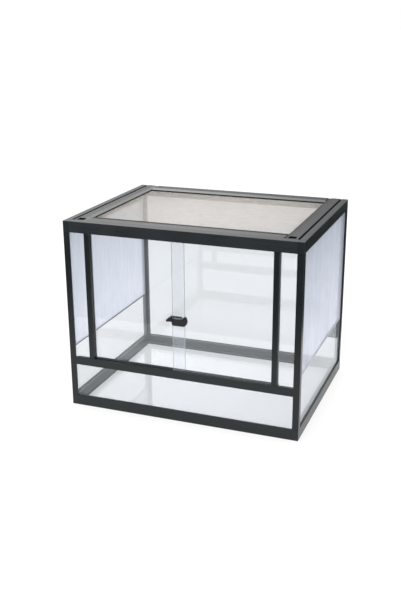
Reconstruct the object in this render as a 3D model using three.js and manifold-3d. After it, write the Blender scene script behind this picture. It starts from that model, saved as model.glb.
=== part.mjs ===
// Terrarium cabinet: a hollow black profile frame with clear glazing, two
// sliding glass front doors with a cam lock, and a mesh lid that slides back in
// grooves in the side rails.
// Millimetres, +Z up. Origin: centre of the footprint, on the resting plane.
// The front (doors) faces -Y, the right side is +X.

import * as THREE from "three";
import { mergeVertices } from "three/addons/utils/BufferGeometryUtils.js";
import Module from "manifold-3d";

const wasm = await Module();
wasm.setup();

// ---------------------------------------------------------------- dimensions
const WIDTH = 600; // outside, along X
const DEPTH = 462; // outside, along Y
const HEIGHT = 486; // outside, along Z
const GAP = 0.3; // clearance between pieces that touch

const POST = 15.5; // corner post, side of its square section
const RAIL_H = 28; // height of the base and top rails
const BEAD_H = 22.5; // inner side of the front base rail, which is lower
const FRONT_D = 19; // depth of the front top rail and of the sill bar
const WALL = 1.7; // wall thickness of the hollow profiles
const EDGE_R = 1.1; // rounding of the outer profile edges

const GLASS = 4; // pane thickness
const SLOT0 = 3.2; // glazing slot, distance of its outer side from the outer face
const SLOT1 = 7.8; // glazing slot, distance of its inner side from the outer face
const PANE0 = 3.5; // pane, distance of its outer face from the outer face
const SLOT_D = 10; // depth of the glazing slots in the rails
const POST_SLOT = 9.5; // glazing slots in the posts run from here to the inner side

const SILL_Z0 = 112.5; // door sill bar
const SILL_Z1 = 133.5;
const JAMB_IN = 231; // half the width of the door opening
const JAMB_W = 13.7;
const JAMB_D = 16;

const TRACK0 = 1.9; // door tracks, front and back faces
const TRACK1 = 17.5;
const CH_FRONT = [3.4, 8.6]; // front channel
const CH_REAR = [10.9, 16.1]; // rear channel
const DOOR_F0 = 4.0; // front door pane, outer face
const DOOR_R0 = 11.5; // rear door pane, outer face
const DOOR_Z0 = 129;
const DOOR_Z1 = 463;
const LEFT_DOOR = [-230.4, 10.3]; // rear door, in X
const RIGHT_DOOR = [-18.2, 230.4]; // front door, in X

const SEAM_Z = 157; // joint between the two panes of each side wall
const SEAM_H = 2.4;

const LID_X = 279; // half the width of the lid between the grooves
const LID_IN_X = 247.5; // half the width of the mesh opening
const LID_Y0 = -DEPTH / 2 + FRONT_D + 0.6; // front edge of the lid
const LID_Y1 = DEPTH / 2;
const LID_IN_Y0 = -166; // mesh opening
const LID_IN_Y1 = 182;
const LID_BOTTOM = HEIGHT - 11;
const LEDGE_Z = LID_BOTTOM - GAP; // the lid runs on this face
const FLANGE = 7.5; // flange of the lid under the groove
const FLANGE_H = 2.4;
const GROOVE_IN = 30; // inner side of the side rail, from the outer face
const BEVEL_Z = HEIGHT - 1.6; // lower edge of the bevel round the mesh
const MESH_TOP = HEIGHT - 5.2;
const MESH_T = 0.6;
const LID_REBATE = 9.5; // how far the mesh goes under the frame
const FINGER = { x0: 255, x1: 273, y0: -208, y1: -190 }; // finger window

// ------------------------------------------------------------------ materials
const BLACK = { color: 0x2b2f33, roughness: 0.42, metalness: 0.25 };
const TRACK = { color: 0x141517, roughness: 0.5, metalness: 0.0 };
const CLEAR = {
  color: 0xe6efee,
  roughness: 0.04,
  metalness: 0.0,
  transparent: true,
  opacity: 0.22,
};
const HAZE = {
  color: 0xcfd6e4,
  roughness: 0.35,
  metalness: 0.0,
  transparent: true,
  opacity: 0.6,
};
const MESH = { color: 0xc9c4bd, roughness: 0.55, metalness: 0.35 };
const PLASTIC = { color: 0x18191b, roughness: 0.45, metalness: 0.0 };
const STEEL = { color: 0x9a9da0, roughness: 0.3, metalness: 0.9 };
const RUBBER = { color: 0x202020, roughness: 0.9, metalness: 0.0 };

// -------------------------------------------------------------------- helpers
// A closed geometry as a solid, for joining and cutting.
function solid(geometry) {
  const g = geometry.index ? geometry.toNonIndexed() : geometry.clone();
  const bare = new THREE.BufferGeometry().setAttribute(
    "position",
    g.getAttribute("position"),
  );
  const merged = mergeVertices(bare, 1e-4);
  return new wasm.Manifold(
    new wasm.Mesh({
      numProp: 3,
      vertProperties: merged.attributes.position.array,
      triVerts: new Uint32Array(merged.index.array),
    }),
  );
}

function geometryOf(body) {
  const m = body.getMesh();
  const n = m.numProp;
  const v = new Float32Array(m.numVert * 3);
  for (let i = 0; i < m.numVert; i++)
    v.set(m.vertProperties.subarray(i * n, i * n + 3), i * 3);
  const g = new THREE.BufferGeometry()
    .setAttribute("position", new THREE.BufferAttribute(v, 3))
    .setIndex(new THREE.BufferAttribute(m.triVerts, 1));
  const flat = g.toNonIndexed();
  flat.computeVertexNormals();
  return flat;
}

function box(x0, x1, y0, y1, z0, z1) {
  return solid(
    new THREE.BoxGeometry(
      Math.abs(x1 - x0),
      Math.abs(y1 - y0),
      Math.abs(z1 - z0),
    ).translate((x0 + x1) / 2, (y0 + y1) / 2, (z0 + z1) / 2),
  );
}

// Points [a, b] or [a, b, r]: a corner with r is rounded in three steps.
function rounded(points) {
  const out = [];
  const n = points.length;
  for (let i = 0; i < n; i++) {
    const [a, b, r] = points[i];
    if (!r) {
      out.push(new THREE.Vector2(a, b));
      continue;
    }
    const p = new THREE.Vector2(a, b);
    const q0 = points[(i + n - 1) % n];
    const q1 = points[(i + 1) % n];
    const d0 = new THREE.Vector2(q0[0], q0[1]).sub(p).normalize();
    const d1 = new THREE.Vector2(q1[0], q1[1]).sub(p).normalize();
    const half = Math.acos(THREE.MathUtils.clamp(d0.dot(d1), -1, 1)) / 2;
    const t = r / Math.tan(half);
    const start = p.clone().addScaledVector(d0, t);
    const end = p.clone().addScaledVector(d1, t);
    const steps = 3;
    for (let k = 0; k <= steps; k++) {
      const s = k / steps;
      // Quadratic curve through the rounded corner.
      const c = start
        .clone()
        .multiplyScalar((1 - s) * (1 - s))
        .addScaledVector(p, 2 * s * (1 - s))
        .addScaledVector(end, s * s);
      out.push(c);
    }
  }
  return out;
}

// The profile run along a depth, then turned so that its axes become a, b, c.
function run(points, depth, a, b, c) {
  const g = new THREE.ExtrudeGeometry(new THREE.Shape(rounded(points)), {
    depth,
    bevelEnabled: false,
  });
  return g.applyMatrix4(
    new THREE.Matrix4().makeBasis(
      new THREE.Vector3(...a),
      new THREE.Vector3(...b),
      new THREE.Vector3(...c),
    ),
  );
}

// Profile given in (x, y), run along Z. Holes go through the whole length.
function alongZ(points, z0, z1, holes = []) {
  const g = run(points, z1 - z0, [1, 0, 0], [0, 1, 0], [0, 0, 1]);
  let body = solid(g.translate(0, 0, z0));
  for (const h of holes) body = body.subtract(alongZ(h, z0 - 1, z1 + 1));
  return body;
}

// Profile given in (y, z), run along X.
function alongX(points, x0, x1, holes = []) {
  const g = run(points, x1 - x0, [0, 1, 0], [0, 0, 1], [1, 0, 0]);
  let body = solid(g.translate(x0, 0, 0));
  for (const h of holes) body = body.subtract(alongX(h, x0 - 1, x1 + 1));
  return body;
}

// Profile given in (x, z), run along Y.
function alongY(points, y0, y1, holes = []) {
  const turned = points.map(([a, b, r]) => [b, a, r]);
  const g = run(turned, y1 - y0, [0, 0, 1], [1, 0, 0], [0, 1, 0]);
  let body = solid(g.translate(0, y0, 0));
  for (const h of holes) body = body.subtract(alongY(h, y0 - 1, y1 + 1));
  return body;
}

const X = WIDTH / 2;
const Y = DEPTH / 2;
const TOP0 = HEIGHT - RAIL_H; // underside of the top rails

// Outer face inward, as a coordinate: side is -1 or +1.
const fromX = (side, u) => side * (X - u);
const fromY = (side, v) => side * (Y - v);
const mapX = (side, pts) => pts.map(([u, z, r]) => [fromX(side, u), z, r]);
const mapY = (side, pts) => pts.map(([v, z, r]) => [fromY(side, v), z, r]);

// A box from its distances inward from the side's outer face.
const inX = (sx, a0, a1, y0, y1, z0, z1) =>
  box(
    Math.min(fromX(sx, a0), fromX(sx, a1)),
    Math.max(fromX(sx, a0), fromX(sx, a1)),
    Math.min(y0, y1),
    Math.max(y0, y1),
    z0,
    z1,
  );

const cabinet = new THREE.Group();
const leftDoor = new THREE.Group();
const rightDoor = new THREE.Group();
const lid = new THREE.Group();

function add(group, name, body, material) {
  const mesh = new THREE.Mesh(
    body.isBufferGeometry ? body : geometryOf(body),
    new THREE.MeshStandardMaterial(material),
  );
  mesh.name = name;
  group.add(mesh);
  return mesh;
}

// ------------------------------------------------------------------ base rails
// bead is the height of the inner side, behind the glazing slot.
const baseProfile = (bead) => [
  [0, 0, EDGE_R],
  [POST, 0, 0.5],
  [POST, 2.2],
  [9, 2.2],
  [9, 6.8],
  [POST, 6.8],
  [POST, bead, 0.6],
  [SLOT1, bead],
  [SLOT1, RAIL_H - SLOT_D],
  [SLOT0, RAIL_H - SLOT_D],
  [SLOT0, RAIL_H],
  [0, RAIL_H, EDGE_R],
];
const baseChamber = (bead) => [
  [WALL, WALL],
  [7.3, WALL],
  [7.3, 8.4],
  [POST - 1.6, 8.4],
  [POST - 1.6, bead - WALL],
  [9.5, bead - WALL],
  [9.5, RAIL_H - SLOT_D - 1.6],
  [WALL, RAIL_H - SLOT_D - 1.6],
];
const END_X = X - POST - GAP; // ends of the front and back rails
const END_Y = Y - POST - GAP; // ends of the side rails

for (const [name, s, bead] of [
  ["base_rail_front", -1, BEAD_H],
  ["base_rail_back", 1, RAIL_H],
])
  add(
    cabinet,
    name,
    alongX(mapY(s, baseProfile(bead)), -END_X, END_X, [
      mapY(s, baseChamber(bead)),
    ]),
    BLACK,
  );
for (const [name, s] of [
  ["base_rail_left", -1],
  ["base_rail_right", 1],
])
  add(
    cabinet,
    name,
    alongY(mapX(s, baseProfile(RAIL_H)), -END_Y, END_Y, [
      mapX(s, baseChamber(RAIL_H)),
    ]),
    BLACK,
  );

// ---------------------------------------------------------------- corner posts
const postProfile = (sx, sy) =>
  [
    [0, 0, 1.5],
    [POST, 0],
    [POST, SLOT0],
    [POST_SLOT, SLOT0],
    [POST_SLOT, SLOT1],
    [12.8, SLOT1],
    [12.8, 9.0],
    [9.0, 12.8],
    [SLOT1, 12.8],
    [SLOT1, POST_SLOT],
    [SLOT0, POST_SLOT],
    [SLOT0, POST],
    [0, POST],
  ].map(([a, b, r]) => [fromX(sx, a), fromY(sy, b), r]);
const square = (sx, sy, a0, a1) =>
  [
    [a0, a0],
    [a1, a0],
    [a1, a1],
    [a0, a1],
  ].map(([a, b]) => [fromX(sx, a), fromY(sy, b)]);
const CORNERS = [
  ["front_left", -1, -1],
  ["front_right", 1, -1],
  ["back_left", -1, 1],
  ["back_right", 1, 1],
];
for (const [name, sx, sy] of CORNERS)
  add(
    cabinet,
    "corner_post_" + name,
    alongZ(postProfile(sx, sy), RAIL_H + GAP, TOP0 - GAP, [
      square(sx, sy, WALL, SLOT1),
    ]),
    BLACK,
  );

// ---------------------------------------------------- three-way corner connectors
// A box given by its distances from the outer faces.
const corner = (sx, sy, a0, a1, b0, b1, z0, z1) =>
  inX(sx, a0, a1, fromY(sy, b0), fromY(sy, b1), z0, z1);

function cornerBlock(sx, sy, z0, z1) {
  const plan = [
    [0, 0, 1.5],
    [POST, 0],
    [POST, POST],
    [0, POST],
  ].map(([a, b, r]) => [fromX(sx, a), fromY(sy, b), r]);
  const side = [
    [0, z0, EDGE_R],
    [POST, z0],
    [POST, z1],
    [0, z1, EDGE_R],
  ];
  return alongZ(plan, z0, z1)
    .intersect(alongX(mapY(sy, side), -X, X))
    .intersect(alongY(mapX(sx, side), -Y, Y));
}

for (const [name, sx, sy] of CORNERS) {
  // Base corner.
  let b = cornerBlock(sx, sy, 0, RAIL_H)
    .subtract(
      corner(
        sx, sy, SLOT0, SLOT1, POST_SLOT, POST + 1, RAIL_H - SLOT_D, RAIL_H + 1,
      ),
    )
    .subtract(
      corner(
        sx, sy, POST_SLOT, POST + 1, SLOT0, SLOT1, RAIL_H - SLOT_D, RAIL_H + 1,
      ),
    )
    .subtract(corner(sx, sy, 9, POST + 1, 9, POST + 1, 2.2, 6.8))
    .add(corner(sx, sy, POST - 1, POST + 12, 2.0, 7.0, 2.0, RAIL_H - SLOT_D - 1.9)) // into the front or back rail
    .add(corner(sx, sy, 2.0, 7.0, POST - 1, POST + 12, 2.0, RAIL_H - SLOT_D - 1.9)) // into the side rail
    .add(corner(sx, sy, 2.0, 7.5, 2.0, 7.5, RAIL_H - 1, RAIL_H + 12)); // into the post
  add(cabinet, "corner_connector_base_" + name, b, BLACK);

  // Top corner.
  let t = cornerBlock(sx, sy, TOP0, HEIGHT)
    .subtract(
      corner(
        sx, sy, SLOT0, SLOT1, POST_SLOT, POST + 1, TOP0 - 1, TOP0 + SLOT_D,
      ),
    )
    .subtract(
      corner(
        sx, sy, POST_SLOT, POST + 1, SLOT0, SLOT1, TOP0 - 1, TOP0 + SLOT_D,
      ),
    )
    .add(corner(sx, sy, 2.0, 11.0, POST - 1, POST + 12, 470, 484)) // into the side rail
    .add(corner(sx, sy, 2.0, 7.5, 2.0, 7.5, TOP0 - 12, TOP0 + 1)); // into the post
  if (sy < 0)
    t = t.add(corner(sx, sy, POST - 1, POST + 12, 2.0, 13.2, 476, 484));
  else
    t = t
      .add(corner(sx, sy, POST - 1, POST + 12, 2.0, 13.5, 468, 472.4))
      // The lid's flange runs out to the back through this slot.
      .subtract(
        corner(
          sx, sy, 13, POST + 1, -1, POST + 1, LEDGE_Z, LEDGE_Z + FLANGE_H + 0.6,
        ),
      );
  add(cabinet, "corner_connector_top_" + name, t, BLACK);
}

// ------------------------------------------------------------------- top rails
const frontTop = [
  [0, HEIGHT, EDGE_R],
  [FRONT_D, HEIGHT, 0.6],
  [FRONT_D, TOP0, 0.5],
  [SLOT1, TOP0],
  [SLOT1, TOP0 + SLOT_D],
  [SLOT0, TOP0 + SLOT_D],
  [SLOT0, TOP0],
  [0, TOP0, EDGE_R],
];
const frontTopChamber = [
  [WALL, HEIGHT - 10.3],
  [FRONT_D - WALL, HEIGHT - 10.3],
  [FRONT_D - WALL, HEIGHT - WALL],
  [WALL, HEIGHT - WALL],
];
add(
  cabinet,
  "top_rail_front",
  alongX(mapY(-1, frontTop), -END_X, END_X, [mapY(-1, frontTopChamber)])
    // Room for the upper door track between the jambs.
    .subtract(
      box(
        -JAMB_IN + 0.1, JAMB_IN - 0.1, -Y + 1.6, -Y + 17.8, TOP0 - 1, TOP0 + 16,
      ),
    ),
  BLACK,
);

const backTop = [
  [0, LEDGE_Z, 0.8],
  [POST, LEDGE_Z, 0.5],
  [POST, TOP0, 0.5],
  [SLOT1, TOP0],
  [SLOT1, TOP0 + 8],
  [SLOT0, TOP0 + 8],
  [SLOT0, TOP0],
  [0, TOP0, EDGE_R],
];
const backTopChamber = [
  [WALL, TOP0 + 9.7],
  [POST - WALL, TOP0 + 9.7],
  [POST - WALL, LEDGE_Z - WALL],
  [WALL, LEDGE_Z - WALL],
];
add(
  cabinet,
  "top_rail_back",
  alongX(mapY(1, backTop), -END_X, END_X, [mapY(1, backTopChamber)]),
  BLACK,
);

const sideTop = [
  [0, HEIGHT, EDGE_R],
  [POST, HEIGHT, 0.5],
  [POST, LEDGE_Z + FLANGE_H + 0.6],
  [13, LEDGE_Z + FLANGE_H + 0.6],
  [13, LEDGE_Z],
  [GROOVE_IN, LEDGE_Z, 0.5],
  [GROOVE_IN, TOP0, 0.5],
  [SLOT1, TOP0],
  [SLOT1, TOP0 + SLOT_D],
  [SLOT0, TOP0 + SLOT_D],
  [SLOT0, TOP0],
  [0, TOP0, EDGE_R],
];
const sideTopChamber = [
  [9.5, TOP0 + WALL],
  [GROOVE_IN - WALL, TOP0 + WALL],
  [GROOVE_IN - WALL, LEDGE_Z - WALL],
  [11.3, LEDGE_Z - WALL],
  [11.3, HEIGHT - 6.6],
  [POST - WALL, HEIGHT - 6.6],
  [POST - WALL, HEIGHT - WALL],
  [WALL, HEIGHT - WALL],
  [WALL, TOP0 + SLOT_D + WALL],
  [9.5, TOP0 + SLOT_D + WALL],
];
for (const [name, s] of [
  ["top_rail_left", -1],
  ["top_rail_right", 1],
])
  add(
    cabinet,
    name,
    alongY(mapX(s, sideTop), -END_Y, END_Y, [mapX(s, sideTopChamber)])
      // The ledge stops behind the deeper front rail.
      .subtract(
        inX(s, POST, GROOVE_IN + 1, -END_Y - 1, -Y + FRONT_D + GAP, TOP0 - 1, HEIGHT + 1),
      ),
    BLACK,
  );

// -------------------------------------------------------- sill bar and jambs
const sill = [
  [0, SILL_Z0, EDGE_R],
  [SLOT0, SILL_Z0],
  [SLOT0, SILL_Z0 + 6],
  [SLOT1, SILL_Z0 + 6],
  [SLOT1, SILL_Z0],
  [FRONT_D, SILL_Z0, 0.6],
  [FRONT_D, SILL_Z1, 0.6],
  [SLOT1, SILL_Z1],
  [SLOT1, SILL_Z1 - 6],
  [SLOT0, SILL_Z1 - 6],
  [SLOT0, SILL_Z1],
  [0, SILL_Z1, EDGE_R],
];
const sillChamber = [
  [WALL, SILL_Z0 + 7.7],
  [FRONT_D - WALL, SILL_Z0 + 7.7],
  [FRONT_D - WALL, SILL_Z0 + 11.8],
  [WALL, SILL_Z0 + 11.8],
];
{
  let bar = alongX(mapY(-1, sill), -END_X, END_X, [mapY(-1, sillChamber)])
    // Room for the lower door track between the jambs.
    .subtract(
      box(
        -JAMB_IN + 0.1, JAMB_IN - 0.1, -Y + 1.6, -Y + 17.8, SILL_Z0 + 13.5, SILL_Z1 + 1,
      ),
    );
  for (const s of [-1, 1]) {
    // The inner side steps down beside the fixed panes.
    const x0 = JAMB_IN + JAMB_W + 0.2;
    for (const [v, z] of [
      [SLOT1 - 1, SILL_Z1 - 2.5],
      [12, SILL_Z1 - 5],
    ])
      bar = bar.subtract(
        box(
          Math.min(s * x0, s * X),
          Math.max(s * x0, s * X),
          fromY(-1, v),
          fromY(-1, FRONT_D + 1),
          z,
          SILL_Z1 + 1,
        ),
      );
    // Tongues into the front slots of the posts.
    bar = bar.add(
      corner(s, -1, POST_SLOT + 0.6, POST + 1, 3.5, 7.5, SILL_Z0 + 6.5, SILL_Z1 - 6.5),
    );
  }
  add(cabinet, "door_sill_bar", bar, BLACK);
}

for (const [name, s] of [
  ["door_jamb_left", -1],
  ["door_jamb_right", 1],
]) {
  const outer = JAMB_IN + JAMB_W;
  const pts = [
    [JAMB_IN, 0, 0.8],
    [outer, 0, 0.8],
    [outer, SLOT0],
    [outer - 5, SLOT0],
    [outer - 5, SLOT1],
    [outer, SLOT1],
    [outer, JAMB_D, 0.6],
    [JAMB_IN, JAMB_D, 0.6],
  ].map(([a, v, r]) => [s * a, fromY(-1, v), r]);
  const hole = [
    [JAMB_IN + 1.5, 1.6],
    [JAMB_IN + 6, 1.6],
    [JAMB_IN + 6, JAMB_D - 1.6],
    [JAMB_IN + 1.5, JAMB_D - 1.6],
  ].map(([a, v]) => [s * a, fromY(-1, v)]);
  const tongue = (z0, z1) =>
    box(
      Math.min(s * (JAMB_IN + 0.6), s * (JAMB_IN + 7)),
      Math.max(s * (JAMB_IN + 0.6), s * (JAMB_IN + 7)),
      fromY(-1, 7.5),
      fromY(-1, 3.5),
      z0,
      z1,
    ).subtract(
      box(
        Math.min(s * (JAMB_IN + 1.5), s * (JAMB_IN + 6)),
        Math.max(s * (JAMB_IN + 1.5), s * (JAMB_IN + 6)),
        fromY(-1, 9.3),
        fromY(-1, 1.5),
        z0 - 1,
        z1 + 1,
      ),
    );
  add(
    cabinet,
    name,
    alongZ(pts, SILL_Z1 + GAP, TOP0 - GAP, [hole])
      .add(tongue(SILL_Z1 - 5, SILL_Z1 + 2))
      .add(tongue(TOP0 - 2, TOP0 + 6)),
    BLACK,
  );
}

// --------------------------------------------------------------------- glazing
const PANE1 = PANE0 + GLASS;
const PANE_Z0 = RAIL_H - SLOT_D + GAP; // lower edge of the upright panes
function pane(x0, x1, y0, y1, z0, z1) {
  return box(x0, x1, y0, y1, z0, z1);
}
add(
  cabinet,
  "bottom_glass",
  pane(-X + 9.6, X - 9.6, -Y + 9.6, Y - 9.6, 2.5, 2.5 + GLASS),
  CLEAR,
);
add(
  cabinet,
  "back_glass",
  pane(-X + 10, X - 10, fromY(1, PANE1), fromY(1, PANE0), PANE_Z0, TOP0 + 7.7),
  CLEAR,
);
add(
  cabinet,
  "front_glass_lower",
  pane(
    -X + 10, X - 10, fromY(-1, PANE0), fromY(-1, PANE1), PANE_Z0, SILL_Z0 + 5.7,
  ),
  CLEAR,
);
for (const [name, s] of [
  ["left", -1],
  ["right", 1],
]) {
  const a = JAMB_IN + JAMB_W - 4.7;
  add(
    cabinet,
    "front_glass_fixed_" + name,
    pane(
      Math.min(s * a, s * (X - 10)),
      Math.max(s * a, s * (X - 10)),
      fromY(-1, PANE0),
      fromY(-1, PANE1),
      SILL_Z1 - 5.7,
      TOP0 + 9.7,
    ),
    CLEAR,
  );
  add(
    cabinet,
    "side_glass_lower_" + name,
    inX(s, PANE0, PANE1, -Y + 10, Y - 10, PANE_Z0, SEAM_Z - SEAM_H / 2 - GAP),
    CLEAR,
  );
  add(
    cabinet,
    "side_panel_upper_" + name,
    inX(s, PANE0, PANE1, -Y + 10, Y - 10, SEAM_Z + SEAM_H / 2 + GAP, TOP0 + 9.7),
    HAZE,
  );
  add(
    cabinet,
    "side_seam_strip_" + name,
    inX(
      s, PANE0 - 0.2, PANE1 + 0.2, -END_Y, END_Y, SEAM_Z - SEAM_H / 2, SEAM_Z + SEAM_H / 2,
    ),
    BLACK,
  );
}

// ------------------------------------------------------------------ door tracks
const TRACK_X = JAMB_IN - 0.4;
const lowerTrack = [
  [TRACK0, SILL_Z0 + 13.8],
  [TRACK1, SILL_Z0 + 13.8],
  [TRACK1, SILL_Z1 - 0.4, 0.3],
  [CH_REAR[1], SILL_Z1 - 0.4, 0.3],
  [CH_REAR[1], DOOR_Z0 - 0.8],
  [CH_REAR[0], DOOR_Z0 - 0.8],
  [CH_REAR[0], SILL_Z1 - 0.4, 0.4],
  [CH_FRONT[1], SILL_Z1 - 0.4, 0.4],
  [CH_FRONT[1], DOOR_Z0 - 0.8],
  [CH_FRONT[0], DOOR_Z0 - 0.8],
  [CH_FRONT[0], SILL_Z1 - 0.4, 0.3],
  [TRACK0, SILL_Z1 - 0.4, 0.3],
];
add(
  cabinet,
  "door_track_lower",
  alongX(mapY(-1, lowerTrack), -TRACK_X, TRACK_X),
  TRACK,
);
const upperTrack = [
  [TRACK0, TOP0 + 15.7],
  [TRACK0, TOP0 + 0.3],
  [CH_FRONT[0], TOP0 + 0.3],
  [CH_FRONT[0], TOP0 + 13.7],
  [CH_FRONT[1], TOP0 + 13.7],
  [CH_FRONT[1], TOP0 + 0.3],
  [CH_REAR[0], TOP0 + 0.3],
  [CH_REAR[0], TOP0 + 13.7],
  [CH_REAR[1], TOP0 + 13.7],
  [CH_REAR[1], TOP0 + 0.3],
  [TRACK1, TOP0 + 0.3],
  [TRACK1, TOP0 + 15.7],
];
add(
  cabinet,
  "door_track_upper",
  alongX(mapY(-1, upperTrack), -TRACK_X, TRACK_X),
  TRACK,
);

// ----------------------------------------------------------------------- doors
function doorPane([x0, x1], v0) {
  // Ground edges: the vertical ones are slightly broken.
  const c = 0.4;
  const pts = [
    [x0 + c, v0],
    [x1 - c, v0],
    [x1, v0 + c],
    [x1, v0 + GLASS - c],
    [x1 - c, v0 + GLASS],
    [x0 + c, v0 + GLASS],
    [x0, v0 + GLASS - c],
    [x0, v0 + c],
  ].map(([a, v]) => [a, fromY(-1, v)]);
  return alongZ(pts, DOOR_Z0, DOOR_Z1);
}
add(leftDoor, "door_glass_left", doorPane(LEFT_DOOR, DOOR_R0), CLEAR);
add(rightDoor, "door_glass_right", doorPane(RIGHT_DOOR, DOOR_F0), CLEAR);

// ------------------------------------------------------------------------ lock
// A clip on the free edge of the front door. Its cam lever presses on the rear
// door and holds both by friction; swung forward, it lets them slide.
const LOCK_FRONT = -3.3; // front face, measured inward from the cabinet's front
const EDGE = RIGHT_DOOR[0]; // free edge of the front door
const PIVOT = { x: EDGE - 0.5, v: -0.6, r: 2.7 };
const CAM_V = DOOR_R0 - 0.35; // how far back the cam reaches
const KNUCKLE = [265.2, 268.8];
const STEM = EDGE + 2.6; // left side of the front jaw
const disc = (cx, cy, r, n = 24) =>
  Array.from({ length: n }, (_, i) => {
    const a = (2 * Math.PI * i) / n;
    return [cx + r * Math.cos(a), cy + r * Math.sin(a)];
  });
const atV = (v) => fromY(-1, v);
const about = (r, z0, z1, n) => alongZ(disc(PIVOT.x, atV(PIVOT.v), r, n), z0, z1);
{
  // Front jaw, with an upright rounded end to push the door by.
  const jaw = alongY(
    [
      [STEM, 253.0, 1.4],
      [13, 253.0, 3],
      [18.6, 256.0, 3],
      [21.6, 260.8, 3],
      [22.3, 266.6, 4],
      [20.8, 272.8, 4],
      [18.4, 276.8, 2],
      [15.8, 277.8, 2],
      [12.6, 275.6, 3],
      [9.2, 271.4, 3],
      [5.5, 270.0, 2],
      [STEM, 269.6, 0.8],
    ],
    atV(LOCK_FRONT),
    atV(2.2),
  );
  const rib = box(STEM, STEM + 2.2, atV(1.5), atV(3.7), 254, 269.4);
  const plate = box(EDGE - 1.3, STEM + 0.4, atV(2.4), atV(3.7), 254, 269.4);
  const web = box(EDGE - 1.3, EDGE - 0.3, atV(2.4), atV(10.3), 254, 274.2);
  const rear = alongY(
    [
      [EDGE - 1.3, 268.2],
      [5.2, 268.2, 2],
      [5.2, 273.0, 2],
      [EDGE - 1.3, 273.0],
    ],
    atV(DOOR_F0 + GLASS + 0.3),
    atV(10.3),
  );
  const knuckle = about(PIVOT.r, ...KNUCKLE).add(
    box(PIVOT.x, STEM + 1, atV(PIVOT.v - 1.5), atV(PIVOT.v + 2.6), ...KNUCKLE),
  );
  const body = jaw
    .add(rib)
    .add(plate)
    .add(web)
    .add(rear)
    .add(knuckle)
    .subtract(about(1.3, KNUCKLE[0] - 1, KNUCKLE[1] + 1, 20));
  add(rightDoor, "lock_body", body, PLASTIC);

  add(
    rightDoor,
    "lock_grip_pad",
    alongY(
      [
        [STEM + 2.6, 255, 1],
        [12, 255, 1.5],
        [12, 268.4, 1.5],
        [STEM + 2.6, 268.4, 1],
      ],
      atV(2.5),
      atV(DOOR_F0 - 0.3),
    ),
    RUBBER,
  );
  add(rightDoor, "lock_pivot_pin", about(1.0, 262.5, 272.4, 20), STEEL);

  // Cam lever: thumb wedge to the left, cam block towards the rear door.
  const tip = -32.3;
  const plan = alongZ(
    [
      [PIVOT.x, atV(LOCK_FRONT)],
      [PIVOT.x, atV(2.1)],
      [-20.1, atV(2.1)],
      [-20.1, atV(CAM_V), 0.9],
      [-24.4, atV(CAM_V), 1.2],
      [-24.4, atV(2.6), 0.8],
      [tip, atV(-0.2), 0.6],
      [tip, atV(LOCK_FRONT), 0.6],
    ],
    250,
    285,
  ).add(about(PIVOT.r, 250, 285, 32));
  const outline = alongY(
    [
      [PIVOT.x + 4, 262.2],
      [-22, 262.2],
      [-31.2, 260.8, 0.9],
      [-32.6, 263.6, 0.9],
      [-29.4, 268.2, 1],
      [-24.4, 272.3],
      [-20, 273.5],
      [PIVOT.x + 4, 274.3],
    ],
    atV(-6),
    atV(14),
  );
  const lever = plan
    .intersect(outline)
    .subtract(about(3.3, KNUCKLE[0] - GAP, KNUCKLE[1] + GAP, 32))
    .subtract(about(1.3, 250, 285, 20));
  add(rightDoor, "lock_lever", lever, PLASTIC);
}

// ------------------------------------------------------------------------- lid
const SIDE_W = LID_X - LID_IN_X;
const FRONT_W = LID_IN_Y0 - LID_Y0;
const BACK_W = LID_Y1 - LID_IN_Y1;
// Member profile, from the outer edge (0) to the mesh opening (w).
const member = (w, flange) => {
  const flat = w * 0.62;
  const lip = w - LID_REBATE;
  const pts = [
    [0, HEIGHT, 0.8],
    [flat, HEIGHT],
    [w, BEVEL_Z, 0.3],
    [w, MESH_TOP + GAP],
    [lip, MESH_TOP + GAP],
    [lip, LID_BOTTOM, 0.3],
  ];
  if (flange)
    pts.push(
      [-FLANGE, LID_BOTTOM],
      [-FLANGE, LID_BOTTOM + FLANGE_H],
      [0, LID_BOTTOM + FLANGE_H],
    );
  else pts.push([0, LID_BOTTOM]);
  return pts;
};
const memberChamber = (w) => [
  [WALL, LID_BOTTOM + 1.6],
  [w - LID_REBATE - 1.6, LID_BOTTOM + 1.6],
  [w - LID_REBATE - 1.6, BEVEL_Z - 1.2],
  [WALL, BEVEL_Z - 1.2],
];
const KEY_W = 12; // width of the corner keys' arms
const keyY = { front: FINGER.y1 + 6.4, back: LID_Y1 - 24 };
for (const [name, s] of [
  ["left", -1],
  ["right", 1],
]) {
  const map = (pts) => pts.map(([u, z, r]) => [s * (LID_X - u), z, r]);
  let side = alongY(map(member(SIDE_W, true)), LID_Y0, LID_Y1, [
    map(memberChamber(SIDE_W)),
  ]);
  // Finger window through the top wall, near the front end.
  side = side.subtract(
    box(
      Math.min(s * FINGER.x0, s * FINGER.x1),
      Math.max(s * FINGER.x0, s * FINGER.x1),
      FINGER.y0,
      FINGER.y1,
      LID_BOTTOM + 1.6,
      HEIGHT + 1,
    ),
  );
  // Tab that closes the rear end of the groove.
  side = side.add(
    box(
      Math.min(s * (LID_X - 1), s * (LID_X + 5.2)),
      Math.max(s * (LID_X - 1), s * (LID_X + 5.2)),
      LID_Y1 - 4,
      LID_Y1,
      LID_BOTTOM + 1,
      HEIGHT - 1,
    ),
  );
  // Openings for the corner keys.
  for (const y of [keyY.front, keyY.back])
    side = side.subtract(
      box(
        Math.min(s * (LID_IN_X - 1), s * (LID_X - 10)),
        Math.max(s * (LID_IN_X - 1), s * (LID_X - 10)),
        y - KEY_W / 2 - GAP,
        y + KEY_W / 2 + GAP,
        LID_BOTTOM + 1.7,
        BEVEL_Z - 2.4,
      ),
    );
  add(lid, "lid_frame_" + name, side, BLACK);
}
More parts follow.
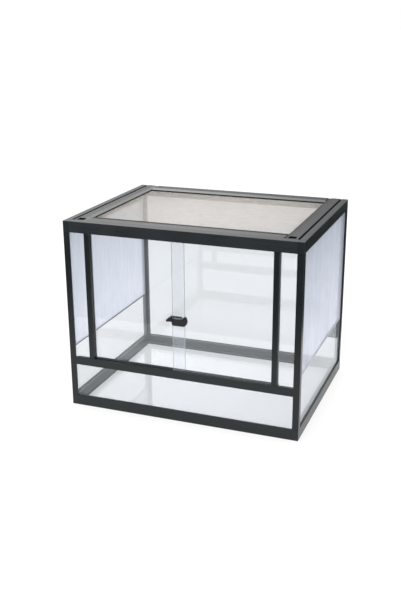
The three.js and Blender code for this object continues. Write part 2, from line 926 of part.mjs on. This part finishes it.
const lidBetween = (name, sy) => {
  const w = sy < 0 ? FRONT_W : BACK_W;
  const edge = sy < 0 ? LID_Y0 : LID_Y1;
  const map = (pts) => pts.map(([u, z, r]) => [edge - sy * u, z, r]);
  add(
    lid,
    name,
    alongX(map(member(w, false)), -LID_IN_X + GAP, LID_IN_X - GAP, [
      map(memberChamber(w)),
    ]),
    BLACK,
  );
};
lidBetween("lid_frame_front", -1);
lidBetween("lid_frame_back", 1);

// L-shaped keys that hold the lid's corners, inside the hollow members.
for (const [name, sx, sy] of CORNERS) {
  const y = sy < 0 ? keyY.front : keyY.back;
  const z0 = LID_BOTTOM + 2.1;
  const z1 = BEVEL_Z - 2.9;
  const xa = LID_X - 12; // arm inside the side member runs along it
  const bar = box(
    Math.min(sx * (LID_IN_X - 34), sx * xa),
    Math.max(sx * (LID_IN_X - 34), sx * xa),
    y - KEY_W / 2,
    y + KEY_W / 2,
    z0,
    z1,
  );
  const legY0 = y;
  const legY1 = y - sy * 46;
  const leg = box(
    Math.min(sx * (LID_X - 20), sx * xa),
    Math.max(sx * (LID_X - 20), sx * xa),
    Math.min(legY0, legY1),
    Math.max(legY0, legY1),
    z0,
    z1,
  );
  add(lid, "lid_corner_key_" + name, bar.add(leg), PLASTIC);
}

const MX = LID_IN_X + LID_REBATE - 0.8;
const MY0 = LID_IN_Y0 - LID_REBATE + 0.8;
const MY1 = LID_IN_Y1 + LID_REBATE - 0.8;
add(
  lid,
  "lid_mesh",
  box(-MX, MX, MY0, MY1, MESH_TOP - MESH_T, MESH_TOP),
  MESH,
);
// Strips that hold the mesh from below, in the rebate of the four members.
const RZ0 = LID_BOTTOM + 1.4;
const RZ1 = MESH_TOP - MESH_T - GAP;
const RX = LID_IN_X + 0.3;
const RY0 = LID_IN_Y0 - 0.3;
const RY1 = LID_IN_Y1 + 0.3;
for (const [name, x0, x1, y0, y1] of [
  ["left", -MX, -RX, MY0, MY1],
  ["right", RX, MX, MY0, MY1],
  ["front", -RX + GAP, RX - GAP, MY0, RY0],
  ["back", -RX + GAP, RX - GAP, RY1, MY1],
])
  add(lid, "lid_mesh_strip_" + name, box(x0, x1, y0, y1, RZ0, RZ1), TRACK);

const terrarium = new THREE.Group();
terrarium.name = "terrarium_cabinet";
terrarium.add(cabinet, leftDoor, rightDoor, lid);

export default terrarium;
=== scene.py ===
import math

import bmesh
import bpy
from mathutils import Matrix, Vector


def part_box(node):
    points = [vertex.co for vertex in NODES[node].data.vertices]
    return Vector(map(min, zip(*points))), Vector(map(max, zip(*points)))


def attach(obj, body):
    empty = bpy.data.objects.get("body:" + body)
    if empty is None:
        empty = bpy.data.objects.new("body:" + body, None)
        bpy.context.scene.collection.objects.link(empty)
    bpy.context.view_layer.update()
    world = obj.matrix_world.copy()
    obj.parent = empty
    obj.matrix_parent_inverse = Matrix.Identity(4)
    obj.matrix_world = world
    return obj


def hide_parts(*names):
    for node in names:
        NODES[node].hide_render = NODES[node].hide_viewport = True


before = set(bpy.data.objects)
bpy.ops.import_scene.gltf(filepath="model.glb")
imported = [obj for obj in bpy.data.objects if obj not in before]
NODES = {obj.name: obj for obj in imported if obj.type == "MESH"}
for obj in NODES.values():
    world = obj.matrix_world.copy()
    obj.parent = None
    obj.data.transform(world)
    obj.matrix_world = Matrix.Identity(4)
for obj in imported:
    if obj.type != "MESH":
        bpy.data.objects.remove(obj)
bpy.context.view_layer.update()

W, D, H = 0.600, 0.462, 0.486

# ---------------------------------------------------------------- camera
# Fitted to the corners of the cabinet: forward, right and up directions of a
# level camera turned by a small roll.
AZ, EL, ROLL = math.radians(20.965), math.radians(19.017), math.radians(-0.354)
C = Vector((0.73972, -2.01569, 0.98230))
f = Vector(
    (-math.sin(AZ) * math.cos(EL), math.cos(AZ) * math.cos(EL), -math.sin(EL))
)
r = f.cross(Vector((0, 0, 1))).normalized()
u = r.cross(f)
r2 = math.cos(ROLL) * r + math.sin(ROLL) * u
u2 = -math.sin(ROLL) * r + math.cos(ROLL) * u
cam = bpy.data.objects.new("camera", bpy.data.cameras.new("camera"))
cam.data.lens = 51.844
cam.data.sensor_width = 36.0
cam.data.sensor_fit = "AUTO"
cam.data.clip_start = 0.05
cam.data.clip_end = 100
cam.matrix_world = Matrix(
    (
        (r2.x, u2.x, -f.x, C.x),
        (r2.y, u2.y, -f.y, C.y),
        (r2.z, u2.z, -f.z, C.z),
        (0, 0, 0, 1),
    )
)
bpy.context.scene.collection.objects.link(cam)
bpy.context.scene.camera = cam
bpy.context.scene.view_settings.view_transform = "Standard"
# Several panes can lie behind each other.
bpy.context.scene.cycles.transparent_max_bounces = 32


# ---------------------------------------------------------------- material kit
class Mat:
    """A node material with short names for the nodes it needs."""

    def __init__(self, name):
        self.m = bpy.data.materials.new(name)
        self.m.use_nodes = True
        self.nt = self.m.node_tree
        self.nt.nodes.clear()
        self.out = self.nt.nodes.new("ShaderNodeOutputMaterial")

    def node(self, kind, **values):
        n = self.nt.nodes.new(kind)
        for key, value in values.items():
            if key in n.inputs:
                n.inputs[key].default_value = value
            else:
                setattr(n, key, value)
        return n

    def link(self, a, b):
        self.nt.links.new(a, b)

    def coords(self, scale=(1, 1, 1), loc=(0, 0, 0)):
        t = self.node("ShaderNodeTexCoord")
        p = self.node("ShaderNodeMapping")
        p.inputs["Scale"].default_value = scale
        p.inputs["Location"].default_value = loc
        self.link(t.outputs["Object"], p.inputs["Vector"])
        return p.outputs["Vector"]

    def noise(self, vec, scale, detail=2.0, rough=0.5):
        n = self.node("ShaderNodeTexNoise")
        n.inputs["Scale"].default_value = scale
        n.inputs["Detail"].default_value = detail
        n.inputs["Roughness"].default_value = rough
        self.link(vec, n.inputs["Vector"])
        return n.outputs["Fac"]

    def ramp(self, fac, stops):
        n = self.node("ShaderNodeValToRGB")
        e = n.color_ramp.elements
        e[0].position, e[0].color = stops[0][0], (*stops[0][1], 1)
        e[1].position, e[1].color = stops[-1][0], (*stops[-1][1], 1)
        for pos, col in stops[1:-1]:
            x = e.new(pos)
            x.color = (*col, 1)
        self.link(fac, n.inputs["Fac"])
        return n.outputs["Color"]

    def range(self, fac, a, b, lo=0.3, hi=0.7):
        n = self.node("ShaderNodeMapRange")
        n.inputs["From Min"].default_value = lo
        n.inputs["From Max"].default_value = hi
        n.inputs["To Min"].default_value = a
        n.inputs["To Max"].default_value = b
        self.link(fac, n.inputs["Value"])
        return n.outputs["Result"]

    def math(self, op, a, b=None, clamp=False):
        n = self.node("ShaderNodeMath")
        n.operation = op
        n.use_clamp = clamp
        for i, v in enumerate((a, b)):
            if v is None:
                continue
            if isinstance(v, (int, float)):
                n.inputs[i].default_value = v
            else:
                self.link(v, n.inputs[i])
        return n.outputs[0]

    def bump(self, height, distance, strength=1.0):
        n = self.node("ShaderNodeBump")
        n.inputs["Distance"].default_value = distance
        n.inputs["Strength"].default_value = strength
        self.link(height, n.inputs["Height"])
        return n.outputs["Normal"]

    def principled(self, **values):
        n = self.node("ShaderNodeBsdfPrincipled")
        for key, value in values.items():
            key = key.replace("_", " ")
            if hasattr(value, "links"):
                self.link(value, n.inputs[key])
            elif isinstance(value, tuple) and len(value) == 3:
                n.inputs[key].default_value = (*value, 1)
            else:
                n.inputs[key].default_value = value
        return n

    def mix(self, fac, a, b):
        n = self.node("ShaderNodeMixShader")
        if isinstance(fac, (int, float)):
            n.inputs[0].default_value = fac
        else:
            self.link(fac, n.inputs[0])
        self.link(a, n.inputs[1])
        self.link(b, n.inputs[2])
        return n.outputs[0]

    def done(self, shader):
        self.link(shader, self.out.inputs["Surface"])
        return self.m


def anodised(name, along, base=0.012, rough=0.3, tint=(0.55, 0.95, 1.1), sheen=0.4):
    """Black anodised profile, with faint draw lines along its length."""
    m = Mat(name)
    stretch = [420.0, 420.0, 420.0]
    stretch["XYZ".index(along)] = 2.0
    lines = m.noise(m.coords(tuple(stretch)), 1.0, 3.0, 0.6)
    cloud = m.noise(m.coords(), 14.0, 3.0, 0.55)
    grain = m.noise(m.coords(), 2600.0, 1.0, 0.5)
    lo = tuple(base * 0.84 * t for t in tint)
    hi = tuple(base * 1.16 * t for t in tint)
    colour = m.ramp(cloud, [(0.3, lo), (0.7, hi)])
    roughness = m.math(
        "ADD", m.range(lines, rough - 0.035, rough + 0.035), m.range(cloud, -0.02, 0.02)
    )
    height = m.math("ADD", m.math("MULTIPLY", lines, 0.6), m.math("MULTIPLY", grain, 0.4))
    p = m.principled(
        Base_Color=colour,
        Roughness=roughness,
        Specular_IOR_Level=sheen,
        Normal=m.bump(height, 0.00002, 0.5),
    )
    return m.done(p.outputs[0])


def moulded(name, base=(0.03, 0.033, 0.037), rough=0.45, grain_scale=1500.0, depth=0.00003):
    """Moulded plastic with a fine spark-eroded grain."""
    m = Mat(name)
    cloud = m.noise(m.coords(), 25.0, 3.0, 0.6)
    grain = m.noise(m.coords(), grain_scale, 2.0, 0.6)
    colour = m.ramp(
        cloud, [(0.3, tuple(0.85 * c for c in base)), (0.7, tuple(1.15 * c for c in base))]
    )
    p = m.principled(
        Base_Color=colour,
        Roughness=m.range(grain, rough - 0.05, rough + 0.05),
        Normal=m.bump(grain, depth, 0.6),
    )
    return m.done(p.outputs[0])


def clear_glass(name, thin_axis, tint=(0.955, 0.965, 0.975), veil=0.1, f0=0.04, lap=None):
    """Float glass: clear faces that mirror more at a slant, with a faint milky
    film, and ground edges that look grey-green. tint and veil are for the whole
    pane. lap is a start in X from which the film is thicker, and by how much:
    painted light that lightens the pane where the two doors overlap."""
    m = Mat(name)
    cloud = m.noise(m.coords(), 3.0, 2.0, 0.5)
    half = tuple(math.sqrt(t) for t in tint)
    clear = m.node("ShaderNodeBsdfTransparent")
    m.link(
        m.ramp(cloud, [(0.3, half), (0.7, tuple(min(1.0, t * 1.004) for t in half))]),
        clear.inputs["Color"],
    )
    mirror = m.node("ShaderNodeBsdfGlossy")
    mirror.inputs["Roughness"].default_value = 0.0
    mirror.inputs["Color"].default_value = (0.97, 0.985, 1.0, 1)
    slant = m.node("ShaderNodeLayerWeight")
    slant.inputs["Blend"].default_value = 0.5
    share = m.math("POWER", slant.outputs["Facing"], 5.0)
    share = m.math("ADD", m.math("MULTIPLY", share, 1.0 - f0), f0)
    body = m.mix(share, clear.outputs[0], mirror.outputs[0])
    film = m.node("ShaderNodeBsdfDiffuse")
    film.inputs["Color"].default_value = (0.81, 0.88, 0.94, 1)
    amount = m.range(m.noise(m.coords(), 9.0, 3.0), veil * 0.42, veil * 0.58)
    # Painted light: over the lap the film is thicker, so the pane is lighter where the two doors
    # overlap, in place of the extra reflections of two panes.
    if lap:
        where = m.node("ShaderNodeSeparateXYZ")
        m.link(m.coords(), where.inputs[0])
        amount = m.math(
            "ADD",
            amount,
            m.range(where.outputs["X"], 0.0, lap[1], lap[0] - 0.0006, lap[0] + 0.0006),
        )
    face = m.mix(amount, body, film.outputs[0])
    edge = (0.36, 0.385, 0.39)
    rim = m.principled(
        Base_Color=m.ramp(
            m.noise(m.coords(), 300.0, 2.0), [(0.3, edge), (0.7, tuple(1.1 * e for e in edge))]
        ),
        Roughness=0.35,
        IOR=1.5,
        Transmission_Weight=0.35,
    )
    t = m.node("ShaderNodeTexCoord")
    s = m.node("ShaderNodeSeparateXYZ")
    m.link(t.outputs["Normal"], s.inputs[0])
    on_edge = m.math("LESS_THAN", m.math("ABSOLUTE", s.outputs[thin_axis]), 0.5)
    return m.done(m.mix(on_edge, face, rim.outputs[0]))


def hazy_panel(name):
    """Translucent panel with a milky, faintly streaked film, with painted shade: darker and
    bluer towards the top.
    """
    m = Mat(name)
    cloud = m.noise(m.coords((1, 3.0, 1.2)), 4.0, 3.0, 0.55)
    streak = m.noise(m.coords((1, 90.0, 3.0)), 1.0, 3.0, 0.6)
    colour = m.ramp(cloud, [(0.3, (0.72, 0.73, 0.80)), (0.7, (0.82, 0.825, 0.87))])
    place = m.node("ShaderNodeSeparateXYZ")
    m.link(m.coords(), place.inputs[0])
    # Painted shade: the film colour gets darker and bluer towards the top of the panel.
    painted_shade = m.range(place.outputs["Z"], 1.17, 0.88, 0.22, 0.46)
    grey = m.node("ShaderNodeCombineXYZ")
    for axis, gain in (("X", -0.04), ("Y", 0.0), ("Z", 0.03)):
        more = m.range(place.outputs["Z"], 0.0, gain, 0.22, 0.46)
        m.link(m.math("ADD", painted_shade, more), grey.inputs[axis])
    product = m.node("ShaderNodeVectorMath")
    product.operation = "MULTIPLY"
    m.link(colour, product.inputs[0])
    m.link(grey.outputs[0], product.inputs[1])
    colour = product.outputs[0]
    film = m.principled(
        Base_Color=colour, Roughness=0.4, Normal=m.bump(streak, 0.0003, 0.3)
    )
    back = m.node("ShaderNodeBsdfTranslucent")
    m.link(colour, back.inputs["Color"])
    milky = m.mix(0.5, film.outputs[0], back.outputs[0])
    clear = m.node("ShaderNodeBsdfTransparent")
    clear.inputs["Color"].default_value = (0.93, 0.95, 0.98, 1)
    amount = m.math("ADD", m.range(cloud, 0.48, 0.64), m.range(streak, -0.05, 0.05))
    return m.done(m.mix(amount, clear.outputs[0], milky))


# One black anodised finish for the whole frame. The posts get a darker copy, which is painted
# shade. The front top rail and the lid members get lighter copies, which are painted light for
# how light falls and reflects on those faces.
FRAME_X = anodised("profile_along_x", "X")
FRAME_Y = anodised("profile_along_y", "Y")
FRAME_Z_SHADED = anodised("profile_along_z_painted_darker", "Z", base=0.009)
FRAME_TOP_LIT = anodised("top_profile_painted_lighter", "X", base=0.021, tint=(0.78, 0.98, 1.12))
LID_X_LIT = anodised("lid_profile_x_painted_lighter", "X", base=0.016, rough=0.17, tint=(0.9, 1.0, 1.05))
LID_Y_LIT = anodised(
    "lid_profile_y_painted_lighter", "Y", base=0.016, rough=0.24, tint=(0.9, 1.0, 1.05), sheen=0.3
)
CORNER = anodised("corner_block", "Z", base=0.014)
TRIM = moulded("black_trim", base=(0.012, 0.012, 0.013), rough=0.5)
LOCK = moulded("lock_plastic", base=(0.012, 0.012, 0.014), rough=0.3, depth=0.00001)
RUBBER = moulded("lock_rubber", base=(0.015, 0.015, 0.015), rough=0.8)
# All panes are the same clear glass. The lower tints on the side, lower front, back and bottom
# panes are painted shade: they darken what shows through those panes, and the right side pane
# the most.
GLASS_LEFT = clear_glass("glass_left_side", "X", tint=(0.88, 0.885, 0.89), veil=0.2)
GLASS_RIGHT = clear_glass("glass_right_side", "X", tint=(0.72, 0.735, 0.755), veil=0.2)
GLASS_DOOR = clear_glass("glass_door", "Y", veil=0.1)
GLASS_LAP = clear_glass("glass_left_door", "Y", veil=0.1, lap=(-0.0182, 0.01))
GLASS_FRONT = clear_glass("glass_lower_front", "Y", tint=(0.87, 0.885, 0.90), veil=0.06)
GLASS_BACK = clear_glass(
    "glass_back", "Y", tint=(0.83, 0.845, 0.86), veil=0.05, f0=0.075
)
GLASS_BOTTOM = clear_glass("glass_bottom", "Z", tint=(0.885, 0.89, 0.90), veil=0.05)
HAZE = hazy_panel("hazy_panel")


def steel(name):
    m = Mat(name)
    lines = m.noise(m.coords((900, 900, 30)), 1.0, 3.0)
    p = m.principled(
        Base_Color=m.ramp(lines, [(0.3, (0.45, 0.45, 0.46)), (0.7, (0.6, 0.6, 0.6))]),
        Metallic=1.0,
        Roughness=m.range(lines, 0.22, 0.38),
    )
    return m.done(p.outputs[0])


STEEL = steel("lock_steel")


def put(material, *names):
    for n in names:
        o = NODES[n]
        o.data.materials.clear()
        o.data.materials.append(material)


def seam(name):
    """Seam strip: black on the face inside the cabinet, pale like the panels outside."""
    m = Mat(name)
    n = m.noise(m.coords(), 200.0, 3.0)
    dark = m.principled(
        Base_Color=m.ramp(n, [(0.3, (0.016, 0.016, 0.017)), (0.7, (0.024, 0.024, 0.026))]),
        Roughness=0.5,
    )
    pale = m.principled(
        Base_Color=m.ramp(n, [(0.3, (0.60, 0.62, 0.68)), (0.7, (0.70, 0.72, 0.77))]),
        Roughness=0.5,
    )
    t = m.node("ShaderNodeTexCoord")
    facing = m.node("ShaderNodeSeparateXYZ")
    m.link(t.outputs["Normal"], facing.inputs[0])
    place = m.node("ShaderNodeSeparateXYZ")
    m.link(t.outputs["Object"], place.inputs[0])
    outward = m.math(
        "GREATER_THAN", m.math("MULTIPLY", facing.outputs["X"], place.outputs["X"]), 0.05
    )
    return m.done(m.mix(outward, dark.outputs[0], pale.outputs[0]))


SEAM = seam("seam_strip")

for n in NODES:
    if n.startswith("side_seam"):
        put(SEAM, n)
    elif n.startswith(("base_rail", "top_rail")):
        put(FRAME_X if n.endswith(("front", "back")) else FRAME_Y, n)
    elif n.startswith("corner_post"):
        put(FRAME_Z_SHADED, n)
    elif n.startswith("corner_connector"):
        put(CORNER, n)
    elif n.startswith("door_jamb"):
        put(FRAME_Z_SHADED, n)
    elif n.startswith("lid_frame"):
        put(LID_X_LIT if n.endswith(("front", "back")) else LID_Y_LIT, n)
    elif n.startswith(("lid_mesh_strip", "lid_corner_key", "door_track")):
        put(TRIM, n)
put(FRAME_X, "door_sill_bar")
put(FRAME_TOP_LIT, "top_rail_front")
put(GLASS_BOTTOM, "bottom_glass")
put(GLASS_BACK, "back_glass")
put(GLASS_FRONT, "front_glass_lower")
put(GLASS_DOOR, "front_glass_fixed_left", "front_glass_fixed_right", "door_glass_right")
put(GLASS_LAP, "door_glass_left")
put(GLASS_LEFT, "side_glass_lower_left")
put(GLASS_RIGHT, "side_glass_lower_right")
put(HAZE, "side_panel_upper_left", "side_panel_upper_right")
put(LOCK, "lock_body", "lock_lever")
put(RUBBER, "lock_grip_pad")
put(STEEL, "lock_pivot_pin")


# ---------------------------------------------------------------- lid mesh
def wires(name, x0, x1, y0, y1, z, pitch, dia):
    """A grid of crossing wires, the ones along Y lying on the ones along X."""
    bm = bmesh.new()

    def wire(a, b, axis):
        ring0, ring1 = [], []
        for k in range(5):
            t = 2 * math.pi * k / 5
            c, s = math.cos(t) * dia / 2, math.sin(t) * dia / 2
            off = Vector((0, c, s)) if axis == 0 else Vector((c, 0, s))
            ring0.append(bm.verts.new(a + off))
            ring1.append(bm.verts.new(b + off))
        for k in range(5):
            q = [ring0[k], ring0[(k + 1) % 5], ring1[(k + 1) % 5], ring1[k]]
            bm.faces.new(q if axis == 1 else q[::-1])
        bm.faces.new(ring0 if axis == 0 else ring0[::-1])
        bm.faces.new(ring1[::-1] if axis == 0 else ring1)

    n = int((x1 - x0) / pitch)
    for i in range(n + 1):
        x = x0 + (x1 - x0) * i / n
        wire(Vector((x, y0, z + dia * 0.46)), Vector((x, y1, z + dia * 0.46)), 1)
    n = int((y1 - y0) / pitch)
    for i in range(n + 1):
        y = y0 + (y1 - y0) * i / n
        wire(Vector((x0, y, z - dia * 0.46)), Vector((x1, y, z - dia * 0.46)), 0)
    bmesh.ops.recalc_face_normals(bm, faces=bm.faces)
    me = bpy.data.meshes.new(name)
    bm.to_mesh(me)
    bm.free()
    for p in me.polygons:
        p.use_smooth = len(p.vertices) == 4
    o = bpy.data.objects.new(name, me)
    bpy.context.scene.collection.objects.link(o)
    return o


def mesh_metal(name):
    m = Mat(name)
    n = m.noise(m.coords(), 60.0, 4.0, 0.65)
    fine = m.noise(m.coords(), 900.0, 2.0)
    p = m.principled(
        Base_Color=m.ramp(n, [(0.3, (0.58, 0.535, 0.495)), (0.7, (0.70, 0.66, 0.62))]),
        Metallic=0.1,
        Roughness=m.range(fine, 0.4, 0.6),
    )
    return m.done(p.outputs[0])


lo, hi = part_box("lid_mesh")
grid = wires(
    "lid_wire_mesh",
    lo.x + 0.0004,
    hi.x - 0.0004,
    lo.y + 0.0004,
    hi.y - 0.0004,
    (lo.z + hi.z) / 2,
    0.0018,
    0.0003,
)
grid.data.materials.append(mesh_metal("mesh_steel"))
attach(grid, "lid")
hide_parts("lid_mesh")

# ---------------------------------------------------------------- stage
def plane(name, cx, cy, cz, sx, sy, material):
    me = bpy.data.meshes.new(name)
    me.from_pydata(
        [(-sx / 2, -sy / 2, 0), (sx / 2, -sy / 2, 0), (sx / 2, sy / 2, 0), (-sx / 2, sy / 2, 0)],
        [],
        [(0, 1, 2, 3)],
    )
    me.materials.append(material)
    o = bpy.data.objects.new(name, me)
    o.location = (cx, cy, cz)
    bpy.context.scene.collection.objects.link(o)
    return o


def matt(name, value, glow=0.0):
    m = Mat(name)
    n = m.noise(m.coords(), 2.0, 2.0)
    p = m.principled(
        Base_Color=m.ramp(n, [(0.3, (value * 0.99,) * 3), (0.7, (value,) * 3)]),
        Roughness=0.9,
        Specular_IOR_Level=0.0,
        Emission_Color=(1.0, 1.0, 1.0),
        Emission_Strength=glow,
    )
    return m.done(p.outputs[0])


# A floor that glows a little, as on a light table, so that shadows stay faint.
floor = plane("floor", 0, 0, -0.0002, 40, 40, matt("floor_white", 0.30, 0.72))


def card(name, cx, cy, cz, sx, sy, value):
    """A dark card that only shows in reflections."""
    o = plane(name, cx, cy, cz, sx, sy, matt(name + "_matt", value))
    o.visible_camera = False
    o.visible_diffuse = False
    o.visible_transmission = False
    o.visible_volume_scatter = False
    o.visible_shadow = False
    return o


# Dark cards on the floor behind the right side, and out in front.
card("card_back_right", 1.35, 1.75, 0.002, 2.0, 2.6, 0.02)
card("card_front", 0.45, -2.2, 0.002, 4.2, 2.8, 0.08)

# White studio.
world = bpy.data.worlds.new("studio")
bpy.context.scene.world = world
world.use_nodes = True
wt = world.node_tree
background = wt.nodes["Background"]
background.inputs["Color"].default_value = (1, 1, 1, 1)
direction = wt.nodes.new("ShaderNodeTexCoord").outputs["Generated"]


def ramp_of(value, lo, hi, a, b):
    n = wt.nodes.new("ShaderNodeMapRange")
    n.interpolation_type = "SMOOTHSTEP"
    n.inputs["From Min"].default_value = lo
    n.inputs["From Max"].default_value = hi
    n.inputs["To Min"].default_value = a
    n.inputs["To Max"].default_value = b
    wt.links.new(value, n.inputs["Value"])
    return n.outputs["Result"]


def blend(fac, a, b):
    n = wt.nodes.new("ShaderNodeMix")
    for socket, v in ((0, fac), (2, a), (3, b)):
        if isinstance(v, float):
            n.inputs[socket].default_value = v
        else:
            wt.links.new(v, n.inputs[socket])
    return n.outputs[0]


# Behind the cabinet the studio is dim near the horizon and bright higher up.
# What the camera sees directly is plain white.
parts = wt.nodes.new("ShaderNodeSeparateXYZ")
wt.links.new(direction, parts.inputs[0])
rise = ramp_of(parts.outputs["Z"], 0.185, 0.31, 0.2, 2.1)
dim = ramp_of(parts.outputs["X"], -0.38, -0.16, 1.0, 0.5)
behind = ramp_of(parts.outputs["Y"], 0.1, 0.5, 0.0, 1.0)
product = wt.nodes.new("ShaderNodeMath")
product.operation = "MULTIPLY"
wt.links.new(rise, product.inputs[0])
wt.links.new(dim, product.inputs[1])
shaped = blend(behind, 1.0, product.outputs[0])
path = wt.nodes.new("ShaderNodeLightPath")
strength = blend(path.outputs["Is Camera Ray"], shaped, 1.0)
wt.links.new(strength, background.inputs["Strength"])


def area(name, loc, target, size, power, colour=(1, 1, 1)):
    d = bpy.data.lights.new(name, "AREA")
    d.shape = "RECTANGLE"
    d.size, d.size_y = size
    d.energy = power
    d.color = colour
    o = bpy.data.objects.new(name, d)
    o.location = loc
    o.rotation_euler = (Vector(target) - Vector(loc)).to_track_quat("-Z", "Y").to_euler()
    bpy.context.scene.collection.objects.link(o)
    return o


area("top_softbox", (-0.3, 0.2, 3.0), (0, 0, 0), (3.0, 3.0), 50.0)
